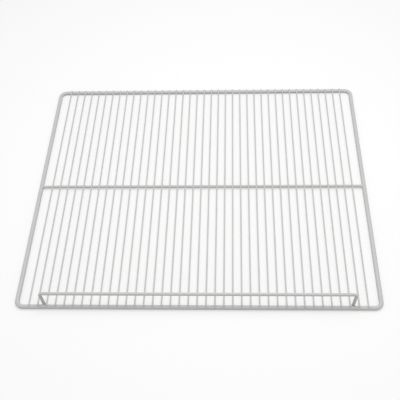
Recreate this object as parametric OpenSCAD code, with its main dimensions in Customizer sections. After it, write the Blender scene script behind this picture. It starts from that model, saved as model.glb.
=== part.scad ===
// Wire shelf for a refrigerator.
// A rod is bent into a round-cornered frame. Straight deck wires run front to back over it,
// a crossbar carries them at mid-depth, and a raised bar stops goods along the near edge.
// Every rod is welded steel under a light grey coating, and each diameter includes the coat.
// The shelf rests on its frame: the underside of the frame is at Z = 0, X runs side to side
// and the stop bar is on the -Y side.

/* [Frame] */
// Outside width of the frame, side to side
frame_w = 623.5; // [360:0.5:800]
// Outside depth of the frame, front to back
frame_d = 541; // [200:0.5:700]
// Diameter of the frame's rod
rail_d = 7.8; // [6.4:0.1:12]
// Bend radius of the frame's corners, at the middle of the rod
corner_r = 12; // [8:0.5:18]

/* [Deck wires] */
// Diameter of a deck wire
wire_d = 2.6; // [2:0.1:5]
// Distance from one deck wire to the next, centre to centre
wire_pitch = 15; // [12:0.5:40]
// Least clear gap between a side rail and the first deck wire
side_gap = 15; // [8:0.5:40]
// How far a deck wire runs on past the middle of the rail that carries its end
wire_overrun = 1.5; // [0.5:0.25:3]
// Chamfer on the sheared ends of the deck wires
wire_chamfer = 0.4; // [0.1:0.05:0.8]

/* [Crossbar] */
// Diameter of the crossbar under the deck wires
crossbar_d = 5.4; // [4:0.1:6.4]
// How far the crossbar's ends run into the curve of the side rails
butt_depth = 1.5; // [1:0.1:2]
// Leg length of the weld bead round each end of the crossbar
bead_leg = 1.2; // [0.4:0.1:1.5]

/* [Stop bar] */
// Diameter of the stop bar's rod
stop_d = 5.4; // [4:0.1:8]
// Height of the stop bar's top above the top of the deck wires
stop_h = 28; // [16:0.5:80]
// Bend radius of the stop bar's two corners, at the middle of the rod
stop_bend_r = 5; // [4.5:0.5:15]
// Deck wire, counted from the side, that each leg of the stop bar stands just outside
leg_wire = 3; // [2:1:6]
// Clear gap between a leg's lower end and the line of that deck wire
leg_gap = 1.7; // [0.3:0.1:2]
// Height of the legs' lower ends above the frame's underside
foot_lift = 1; // [0.5:0.5:3]
// Chamfer on the legs' lower ends
foot_chamfer = 0.6; // [0.2:0.1:1.5]

/* [Welds] */
// How far two crossing rods are sunk into one another by their weld
weld_sink = 0.4; // [0.1:0.05:0.8]

/* [Hidden] */
// Facets of a round rod on the screen
$fn = 64;
// Extra length that lets a cutting rod pass right through what it cuts
through = 10;

// Half the distance between the middles of opposite rails
rail_x = thousandth((frame_w - rail_d) / 2);
rail_y = thousandth((frame_d - rail_d) / 2);
// Heights of the rods' middles
rail_z = rail_d / 2;
crossbar_z = rail_d - crossbar_d / 2;
wire_z = rail_d + wire_d / 2 - weld_sink;
stop_z = wire_z + wire_d / 2 + stop_h - stop_d / 2;

// As many deck wires as the frame holds, centred on it
wire_room = frame_w - 2 * (rail_d + side_gap) - wire_d;
wire_count = floor(wire_room / wire_pitch) + 1;
wire_length = 2 * (rail_y + wire_overrun);

// The crossbar ends inside the curve of the side rails
crossbar_length = frame_w - 2 * rail_d + 2 * butt_depth;

// The legs are welded to the inner side of the front rail and lean in towards their feet,
// by a little over four degrees
lean_share = 0.07584;
leg_lean = asin(lean_share);
leg_y = -rail_y + rail_d / 2 + stop_d / 2 - weld_sink;
foot_x = -wire_x(leg_wire) + wire_d / 2 + leg_gap + stop_d / 2;
leg_length = thousandth((stop_z - foot_lift - stop_bend_r * (1 + lean_share)) / cos(leg_lean));
stop_bend_x = thousandth(foot_x + leg_length * lean_share - stop_bend_r * cos(leg_lean));

coat_colour = [0.80, 0.81, 0.80];

// A length to a thousandth of a millimetre, so that the stretches of a bent rod meet exactly
function thousandth(x) = round(x * 1000) / 1000;

// Names and places of the deck wires, numbered from the left
function wire_name(i) = str("deck_wire_", i < 10 ? "0" : "", i);
function wire_x(i) = (i - (wire_count + 1) / 2) * wire_pitch;

// A straight rod centred on the origin along X, Y or Z
module rod_x(d, length) {
    rotate([0, 90, 0]) cylinder(d = d, h = length, center = true);
}

module rod_y(d, length) {
    rotate([90, 0, 0]) cylinder(d = d, h = length, center = true);
}

// A rod along +Z from the origin, with a chamfer at its upper end and, if asked, its lower one
module cut_rod(d, length, chamfer, both = false) {
    r = d / 2;
    low = both ? chamfer : 0;
    rotate_extrude()
        polygon([
            [0, 0], [r - low, 0], [r, low],
            [r, length - chamfer], [r - chamfer, length], [0, length]
        ]);
}

// A bend that starts on the X axis and turns towards Y, in the XY plane
module bend(d, radius, angle) {
    rotate_extrude(angle = angle)
        translate([radius, 0]) circle(d = d);
}

// A bend from the Y axis round to the X axis and on past it, by the angle that a leg leans
module leaning_bend(d, radius, lean) {
    room = radius + d;
    intersection() {
        rotate([0, 0, 180]) bend(d, radius, 360);
        translate([0, -room, -d]) cube([room, 2 * room, 2 * d]);
        rotate([0, 0, -lean]) translate([-room, 0, -d]) cube([2 * room, room, 2 * d]);
    }
}

// The rods that the frame is made of, as straight lengths between its corners
module front_and_back_rails(length) {
    for (side = [-1, 1])
        translate([0, side * rail_y, rail_z]) rod_x(rail_d, length);
}

module side_rails(length) {
    for (side = [-1, 1])
        translate([side * rail_x, 0, rail_z]) rod_y(rail_d, length);
}

module perimeter_frame() {
    color(coat_colour) {
        front_and_back_rails(2 * (rail_x - corner_r));
        side_rails(2 * (rail_y - corner_r));
        for (corner = [[1, 1, 0], [-1, 1, 90], [-1, -1, 180], [1, -1, 270]])
            translate([
                corner[0] * (rail_x - corner_r),
                corner[1] * (rail_y - corner_r),
                rail_z
            ])
                rotate([0, 0, corner[2]]) bend(rail_d, corner_r, 90);
    }
}

// Half of the crossbar's section along its length: a rod that flares into a weld bead at each end
module crossbar_outline() {
    r = crossbar_d / 2;
    flare = r + bead_leg;
    plain_end = crossbar_length / 2 - butt_depth - bead_leg;
    difference() {
        translate([0, -crossbar_length / 2]) square([flare, crossbar_length]);
        translate([r, -plain_end]) square([2 * bead_leg, 2 * plain_end]);
        for (end = [-1, 1])
            translate([flare, end * plain_end]) circle(r = bead_leg);
    }
}

// Blocks that dress the weld beads level with the top and the underside of the frame
module bead_trim() {
    block = 2 * crossbar_d;
    for (end = [-1, 1], level = [-1, 1])
        translate([end * crossbar_length / 2, 0, rail_z + level * (rail_d + block) / 2])
            cube([2 * (butt_depth + bead_leg), block, block], center = true);
}

// The crossbar's top is level with the top of the frame, and its ends fit the side rails' curve
module crossbar() {
    color(coat_colour)
        difference() {
            translate([0, 0, crossbar_z])
                rotate([0, 90, 0]) rotate_extrude() crossbar_outline();
            side_rails(crossbar_d + through);
            bead_trim();
        }
}

// The bend at the +X end of the stop bar and the leaning leg that hangs from it
module stop_leg() {
    translate([stop_bend_x, leg_y, stop_z - stop_bend_r])
        rotate([90, 0, 0]) {
            leaning_bend(stop_d, stop_bend_r, leg_lean);
            rotate([0, 0, -leg_lean]) translate([stop_bend_r, 0, 0])
                rotate([90, 0, 0]) cut_rod(stop_d, leg_length, foot_chamfer);
        }
}

// The stop bar: one rod bent down at both ends, its feet bedded on the front rail
module stop_bar() {
    color(coat_colour)
        difference() {
            union() {
                translate([0, leg_y, stop_z]) rod_x(stop_d, 2 * stop_bend_x);
                stop_leg();
                mirror([1, 0, 0]) stop_leg();
            }
            front_and_back_rails(frame_w);
        }
}

// One deck wire, bedded on the front rail, the crossbar and the back rail
module deck_wire(i) {
    color(coat_colour)
        difference() {
            translate([wire_x(i), -wire_length / 2, wire_z])
                rotate([-90, 0, 0]) cut_rod(wire_d, wire_length, wire_chamfer, true);
            front_and_back_rails(frame_w + through);
            translate([0, 0, crossbar_z]) rod_x(crossbar_d, frame_w);
        }
}

perimeter_frame();
crossbar();
stop_bar();
for (i = [1 : wire_count]) deck_wire(i);
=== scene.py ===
import math

import bmesh
import bpy
from mathutils import Matrix, Vector


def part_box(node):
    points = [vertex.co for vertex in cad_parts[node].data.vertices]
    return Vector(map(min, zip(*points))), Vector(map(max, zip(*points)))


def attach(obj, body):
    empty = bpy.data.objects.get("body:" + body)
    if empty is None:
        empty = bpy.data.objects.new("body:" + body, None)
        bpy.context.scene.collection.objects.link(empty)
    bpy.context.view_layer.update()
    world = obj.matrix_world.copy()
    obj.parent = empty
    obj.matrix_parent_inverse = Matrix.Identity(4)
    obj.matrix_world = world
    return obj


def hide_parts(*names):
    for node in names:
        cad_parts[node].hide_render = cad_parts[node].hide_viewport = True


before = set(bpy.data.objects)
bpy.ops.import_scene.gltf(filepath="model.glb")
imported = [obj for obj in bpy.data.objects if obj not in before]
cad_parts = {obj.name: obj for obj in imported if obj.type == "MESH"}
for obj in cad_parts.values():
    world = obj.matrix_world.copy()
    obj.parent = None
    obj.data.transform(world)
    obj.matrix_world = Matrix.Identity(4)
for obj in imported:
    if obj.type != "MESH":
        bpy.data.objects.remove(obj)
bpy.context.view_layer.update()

MM = 0.001
ROOT = "root"


# Sizes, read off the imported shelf
def span(node, axis):
    """How long a CAD node is along one axis."""
    low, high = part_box(node)
    return high[axis] - low[axis]


def middle(node, axis):
    """Where the middle of a CAD node lies along one axis."""
    low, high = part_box(node)
    return (low[axis] + high[axis]) / 2


X, Y, Z = 0, 1, 2

FRAME_ROD = span("perimeter_frame", Z)
RAIL_X = (span("perimeter_frame", X) - FRAME_ROD) / 2
RAIL_Y = (span("perimeter_frame", Y) - FRAME_ROD) / 2
RAIL_Z = middle("perimeter_frame", Z)
CORNER_BEND = 12 * MM

CROSSBAR_ROD = 5.4 * MM
CROSSBAR_Z = FRAME_ROD - CROSSBAR_ROD / 2
CROSSBAR_HALF = span("crossbar", X) / 2
BUTT_DEPTH = 1.5 * MM
BEAD_LEG = 1.2 * MM

WIRES = sorted(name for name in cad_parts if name.startswith("deck_wire"))
WIRE_ROD = span(WIRES[0], X)
WIRE_Z = middle(WIRES[0], Z)
WIRE_HALF = span(WIRES[0], Y) / 2

# The stop bar's legs lean in towards their feet, and the feet stand off the ground
LEG_LEAN = math.asin(0.07584)
FOOT_LIFT = 1 * MM
STOP_ROD = 5.4 * MM
STOP_BEND = 5 * MM
STOP_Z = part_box("stop_bar")[1][Z] - STOP_ROD / 2
STOP_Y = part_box("stop_bar")[1][Y] - STOP_ROD / 2
STOP_BEND_X = span("stop_bar", X) / 2 - STOP_ROD / 2 - STOP_BEND
STOP_BEND_Z = STOP_Z - STOP_BEND
LEG_LENGTH = (STOP_BEND_Z - STOP_BEND * math.sin(LEG_LEAN) - FOOT_LIFT) / math.cos(LEG_LEAN)

# The rods that carry others: the axis each runs along, a point on it and its radius
FRONT_RAIL = (X, Vector((0, -RAIL_Y, RAIL_Z)), FRAME_ROD / 2)
MIDDLE_BAR = (X, Vector((0, 0, CROSSBAR_Z)), CROSSBAR_ROD / 2)
BACK_RAIL = (X, Vector((0, RAIL_Y, RAIL_Z)), FRAME_ROD / 2)

# How far the coating creeps out of the crease between two welded rods
CREASE_FILL = 0.7 * MM

# Vertices closer than this are one, and edges sharper than this stay crisp
MERGE_DISTANCE = 0.001 * MM
SHARP_ANGLE = math.radians(60)


# Rods, grown ring by ring
def first_ring(bm, sides, rod, place, direction, fullness=1.0):
    """A ring of a rod's thickness at a place, square to the direction that the rod runs in."""
    turn = direction.to_track_quat("Z", "X").to_matrix().to_4x4()
    made = bmesh.ops.create_circle(
        bm, segments=sides, radius=rod / 2 * fullness, matrix=Matrix.Translation(place) @ turn
    )
    return list({edge for vert in made["verts"] for edge in vert.link_edges})


def run_on(bm, ring, shift, fullness=1.0):
    """The rod runs straight on from its last ring, and may get thinner or thicker."""
    made = bmesh.ops.extrude_edge_only(bm, edges=ring)["geom"]
    verts = [part for part in made if isinstance(part, bmesh.types.BMVert)]
    bmesh.ops.translate(bm, verts=verts, vec=shift)
    if fullness != 1.0:
        centre = sum((vert.co for vert in verts), Vector()) / len(verts)
        about = Matrix.Translation(-centre)
        bmesh.ops.scale(bm, verts=verts, vec=(fullness,) * 3, space=about)
    return [part for part in made if isinstance(part, bmesh.types.BMEdge)]


def bend_round(bm, ring, centre, axis, angle, steps):
    """The rod turns round a centre from its last ring."""
    geom = ring + list({vert for edge in ring for vert in edge.verts})
    made = bmesh.ops.spin(
        bm, geom=geom, cent=centre, axis=axis, angle=angle, steps=steps, use_merge=False
    )["geom_last"]
    return [part for part in made if isinstance(part, bmesh.types.BMEdge)]


def close_end(bm, ring):
    """A flat face closes the end of a rod."""
    bmesh.ops.contextual_create(bm, geom=ring)


def finish_piece(name, bm, material, node):
    """The grown mesh becomes a piece that stands for a CAD node."""
    bmesh.ops.remove_doubles(bm, verts=bm.verts, dist=MERGE_DISTANCE)
    bmesh.ops.recalc_face_normals(bm, faces=bm.faces)
    mesh = bpy.data.meshes.new(name)
    bm.to_mesh(mesh)
    bm.free()
    mesh.shade_smooth()
    mesh.set_sharp_from_angle(angle=SHARP_ANGLE)
    mesh.materials.append(material)
    piece = bpy.data.objects.new(name, mesh)
    bpy.context.scene.collection.objects.link(piece)
    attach(piece, ROOT)
    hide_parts(node)


# A rod's sheared end, rounded by its coating: millimetres from the end face, and share of
# full thickness
ROUND_END = [(0.0, 0.62), (0.06, 0.80), (0.20, 0.93), (0.42, 1.0)]


def fill_crease(bm, rods):
    """Coating that has drawn into the crease where this rod meets the rods that carry it.
    Each rod is given by its axis, a point on it and its radius."""
    for vert in bm.verts:
        for axis, place, radius in rods:
            away = vert.co - place
            away[axis] = 0.0
            gap = away.length - radius
            if 0.0 <= gap < CREASE_FILL:
                near = 1.0 - gap / CREASE_FILL
                vert.co -= away.normalized() * gap * near


# Colours and node trees
def linear(hex_colour):
    """An sRGB hex value as a linear colour with alpha."""
    parts = [int(hex_colour[i : i + 2], 16) / 255 for i in (1, 3, 5)]
    return tuple(p / 12.92 if p <= 0.04045 else ((p + 0.055) / 1.055) ** 2.4 for p in parts) + (1.0,)


def add_node(tree, kind, settings=None, inputs=None):
    """Adds a node. Its settings are attributes, and its inputs are values or sockets to link."""
    node = tree.nodes.new(kind)
    for key, value in (settings or {}).items():
        setattr(node, key, value)
    for key, value in (inputs or {}).items():
        if isinstance(value, bpy.types.NodeSocket):
            tree.links.new(value, node.inputs[key])
        else:
            node.inputs[key].default_value = value
    return node


def new_material(name):
    """An empty material and its node tree."""
    material = bpy.data.materials.new(name)
    material.use_nodes = True
    material.node_tree.nodes.clear()
    return material, material.node_tree


def powder_coat():
    """Light grey polyester powder coat, sprayed on dry and baked on welded steel rod.
    It is an even satin gloss with a faint orange peel, a few millimetres from bump to bump."""
    material, tree = new_material("powder_coat_light_grey")
    place = add_node(tree, "ShaderNodeTexCoord").outputs["Object"]
    cloud = add_node(tree, "ShaderNodeTexNoise", inputs={
        "Vector": place, "Scale": 1 / (40 * MM), "Detail": 2.0, "Roughness": 0.5,
    })
    colour = add_node(tree, "ShaderNodeMix", {"data_type": "RGBA"}, {
        "Factor": cloud.outputs["Fac"], "A": linear("#C6C8C5"), "B": linear("#CDCFCC"),
    })
    gloss = add_node(tree, "ShaderNodeMapRange", inputs={
        "Value": cloud.outputs["Fac"], "From Min": 0.3, "From Max": 0.7,
        "To Min": 0.33, "To Max": 0.42,
    })
    peel = add_node(tree, "ShaderNodeTexNoise", inputs={
        "Vector": place, "Scale": 1 / (1.6 * MM), "Detail": 1.0, "Roughness": 0.4,
    })
    skin = add_node(tree, "ShaderNodeBump", inputs={
        "Strength": 0.35, "Distance": 0.02 * MM, "Height": peel.outputs["Fac"],
    })
    shader = add_node(tree, "ShaderNodeBsdfPrincipled", inputs={
        "Base Color": colour.outputs["Result"], "Roughness": gloss.outputs["Result"],
        "IOR": 1.5, "Normal": skin.outputs["Normal"],
    })
    add_node(tree, "ShaderNodeOutputMaterial", inputs={"Surface": shader.outputs["BSDF"]})
    return material


COAT = powder_coat()


# The frame: one closed rod round four corners
def make_frame():
    sides = 28
    corner_steps = 10
    run_x = RAIL_X - CORNER_BEND
    run_y = RAIL_Y - CORNER_BEND
    turn = math.radians(90)
    up = Vector((0, 0, 1))
    # Each straight run, and the centre of the bend that follows it
    runs = [
        (Vector((run_x, 0, 0)), Vector((run_x, -run_y, RAIL_Z))),
        (Vector((0, 2 * run_y, 0)), Vector((run_x, run_y, RAIL_Z))),
        (Vector((-2 * run_x, 0, 0)), Vector((-run_x, run_y, RAIL_Z))),
        (Vector((0, -2 * run_y, 0)), Vector((-run_x, -run_y, RAIL_Z))),
    ]
    bm = bmesh.new()
    ring = first_ring(bm, sides, FRAME_ROD, Vector((0, -RAIL_Y, RAIL_Z)), Vector((1, 0, 0)))
    for run, corner in runs:
        ring = run_on(bm, ring, run)
        ring = bend_round(bm, ring, corner, up, turn, corner_steps)
    run_on(bm, ring, Vector((run_x, 0, 0)))
    finish_piece("frame_rod", bm, COAT, "perimeter_frame")


# The crossbar: a straight rod that flares into a weld bead at each side rail
def make_crossbar():
    sides = 24
    bead = 1 + BEAD_LEG / (CROSSBAR_ROD / 2)
    # Distance from the end, and thickness as a share of the plain rod
    flare = [
        (0.0, bead), (BUTT_DEPTH, bead), (BUTT_DEPTH + 0.15 * BEAD_LEG, 1 + (bead - 1) * 0.45),
        (BUTT_DEPTH + 0.45 * BEAD_LEG, 1 + (bead - 1) * 0.15), (BUTT_DEPTH + BEAD_LEG, 1.0),
    ]
    bm = bmesh.new()
    start = Vector((-CROSSBAR_HALF, 0, CROSSBAR_Z))
    ring = first_ring(bm, sides, CROSSBAR_ROD, start, Vector((1, 0, 0)), flare[0][1])
    close_end(bm, ring)
    stations = [(-CROSSBAR_HALF + d, f) for d, f in flare]
    stations += [(CROSSBAR_HALF - d, f) for d, f in reversed(flare)]
    for (x0, f0), (x1, f1) in zip(stations, stations[1:]):
        ring = run_on(bm, ring, Vector((x1 - x0, 0, 0)), f1 / f0)
    close_end(bm, ring)
    for vert in bm.verts:
        vert.co.z = min(vert.co.z, FRAME_ROD)
    finish_piece("crossbar_rod", bm, COAT, "crossbar")


# The stop bar: a rod bent down at both ends, with legs that lean in towards their feet
def make_stop_bar():
    sides = 24
    bend_steps = 9
    end_stretch = 1.6
    lean_x, lean_z = math.sin(LEG_LEAN), math.cos(LEG_LEAN)
    rise = Vector((-lean_x, 0, lean_z))
    fall = Vector((-lean_x, 0, -lean_z))
    left_bend = Vector((-STOP_BEND_X, STOP_Y, STOP_BEND_Z))
    right_bend = Vector((STOP_BEND_X, STOP_Y, STOP_BEND_Z))
    foot = left_bend - STOP_BEND * Vector((lean_z, 0, lean_x)) - LEG_LENGTH * rise
    # Distance from the foot, and share of full thickness
    rings = [(d * end_stretch * MM, f) for d, f in ROUND_END]
    near_weld = (RAIL_Z, RAIL_Z + 2 * MM, FRAME_ROD, FRAME_ROD + 2 * MM)
    rings += [(z - FOOT_LIFT, 1.0) for z in near_weld] + [(LEG_LENGTH, 1.0)]
    bm = bmesh.new()
    ring = first_ring(bm, sides, STOP_ROD, foot, rise, rings[0][1])
    close_end(bm, ring)
    for (d0, f0), (d1, f1) in zip(rings, rings[1:]):
        ring = run_on(bm, ring, rise * (d1 - d0), f1 / f0)
    turn = math.radians(90) + LEG_LEAN
    axis = Vector((0, 1, 0))
    ring = bend_round(bm, ring, left_bend, axis, turn, bend_steps)
    ring = run_on(bm, ring, right_bend - left_bend)
    ring = bend_round(bm, ring, right_bend, axis, turn, bend_steps)
    rings.reverse()
    for (d1, f1), (d0, f0) in zip(rings, rings[1:]):
        ring = run_on(bm, ring, fall * (d1 - d0), f0 / f1)
    close_end(bm, ring)
    fill_crease(bm, [FRONT_RAIL])
    finish_piece("stop_bar_rod", bm, COAT, "stop_bar")


# A deck wire: a straight rod, bedded on the front rail, the crossbar and the back rail
def make_deck_wire(node):
    sides = 16
    # Rings on both sides of a weld, in millimetres from its middle, and none on the rounded end
    near_weld = [0.0, 0.8, 1.5, 2.1, 2.7, 3.4]
    clear_of_end = 0.1 * MM
    ends = [WIRE_HALF - d * MM for d, _ in ROUND_END]
    welds = sorted({-RAIL_Y + d * MM for d in near_weld} | {d * MM for d in near_weld})
    half = [y for y in welds if y > -WIRE_HALF]
    stations = [(-e, f) for e, (_, f) in zip(ends, ROUND_END)]
    stations += [(y, 1.0) for y in sorted(set(half) | {-y for y in half})
                 if abs(y) < ends[-1] - clear_of_end]
    stations += [(e, f) for e, (_, f) in reversed(list(zip(ends, ROUND_END)))]
    bm = bmesh.new()
    start = Vector((middle(node, X), stations[0][0], WIRE_Z))
    ring = first_ring(bm, sides, WIRE_ROD, start, Vector((0, 1, 0)), stations[0][1])
    close_end(bm, ring)
    for (y0, f0), (y1, f1) in zip(stations, stations[1:]):
        ring = run_on(bm, ring, Vector((0, y1 - y0, 0)), f1 / f0)
    close_end(bm, ring)
    fill_crease(bm, [FRONT_RAIL, MIDDLE_BAR, BACK_RAIL])
    finish_piece(node.replace("deck_wire", "wire_rod"), bm, COAT, node)


make_frame()
make_crossbar()
make_stop_bar()
for wire in WIRES:
    make_deck_wire(wire)


# Floor and studio light
def seen_directly(tree):
    """One for rays from the camera and rays by way of gloss or glass, zero for light that spreads."""
    rays = add_node(tree, "ShaderNodeLightPath")
    seen = add_node(tree, "ShaderNodeMath", {"operation": "MAXIMUM"}, {
        0: rays.outputs["Is Camera Ray"], 1: rays.outputs["Is Glossy Ray"],
    })
    return add_node(tree, "ShaderNodeMath", {"operation": "MAXIMUM"}, {
        0: seen.outputs[0], 1: rays.outputs["Is Transmission Ray"],
    }).outputs[0]


def make_floor(colour, lift):
    """A matt paper floor that throws little light back up. To the eye it is lifted to white,
    and the shelf's soft shadow stays on it."""
    material, tree = new_material("matt_paper_floor")
    paper = add_node(tree, "ShaderNodeBsdfDiffuse", inputs={"Color": linear(colour)})
    lift_seen = add_node(tree, "ShaderNodeMath", {"operation": "MULTIPLY"}, {
        0: seen_directly(tree), 1: lift,
    })
    glow = add_node(tree, "ShaderNodeEmission", inputs={"Strength": lift_seen.outputs[0]})
    both = add_node(tree, "ShaderNodeAddShader", inputs={0: paper.outputs[0], 1: glow.outputs[0]})
    add_node(tree, "ShaderNodeOutputMaterial", inputs={"Surface": both.outputs[0]})
    half_side = 6.0
    bm = bmesh.new()
    bmesh.ops.create_grid(bm, x_segments=1, y_segments=1, size=half_side)
    mesh = bpy.data.meshes.new("floor")
    bm.to_mesh(mesh)
    bm.free()
    mesh.materials.append(material)
    floor = bpy.data.objects.new("floor", mesh)
    bpy.context.scene.collection.objects.link(floor)


def make_world(strength):
    """An even white surround. It lights at the given strength and is seen as plain white."""
    world = bpy.data.worlds.new("white_surround")
    bpy.context.scene.world = world
    world.use_nodes = True
    tree = world.node_tree
    tree.nodes.clear()
    level = add_node(tree, "ShaderNodeMapRange", inputs={
        "Value": seen_directly(tree), "To Min": strength, "To Max": 1.0,
    })
    light = add_node(tree, "ShaderNodeBackground", inputs={
        "Color": (1.0, 1.0, 1.0, 1.0), "Strength": level.outputs["Result"],
    })
    add_node(tree, "ShaderNodeOutputWorld", inputs={"Surface": light.outputs[0]})


def make_softbox(name, place, target, size, power):
    """A square softbox that faces a point."""
    data = bpy.data.lights.new(name, "AREA")
    data.shape = "SQUARE"
    data.size = size
    data.energy = power
    lamp = bpy.data.objects.new(name, data)
    lamp.location = place
    lamp.rotation_euler = (Vector(target) - Vector(place)).to_track_quat("-Z", "Y").to_euler()
    bpy.context.scene.collection.objects.link(lamp)


make_floor(colour="#BCBCBC", lift=0.50)
make_world(strength=0.65)
make_softbox(
    name="overhead_softbox", place=(0.1, 0.1, 1.2), target=(0.0, 0.0, 0.0), size=0.8, power=6.0
)


# Camera, matched to the photograph
def make_camera():
    image_width = 400
    focal_px = 740.5
    film_width = 36.0
    place = Vector((0.0619, -0.9186, 1.0771))
    pitch, yaw, roll = math.radians(50.382), math.radians(4.091), math.radians(3.278)
    data = bpy.data.cameras.new("photo_camera")
    data.sensor_width = film_width
    data.lens = focal_px / image_width * film_width
    data.clip_start = 0.05
    data.clip_end = 50.0
    camera = bpy.data.objects.new("photo_camera", data)
    turn = Matrix.Rotation(yaw, 4, "Z") @ Matrix.Rotation(math.radians(90) - pitch, 4, "X")
    camera.matrix_world = Matrix.Translation(place) @ turn @ Matrix.Rotation(-roll, 4, "Z")
    bpy.context.scene.collection.objects.link(camera)
    bpy.context.scene.camera = camera


make_camera()
bpy.context.scene.view_settings.view_transform = "Standard"
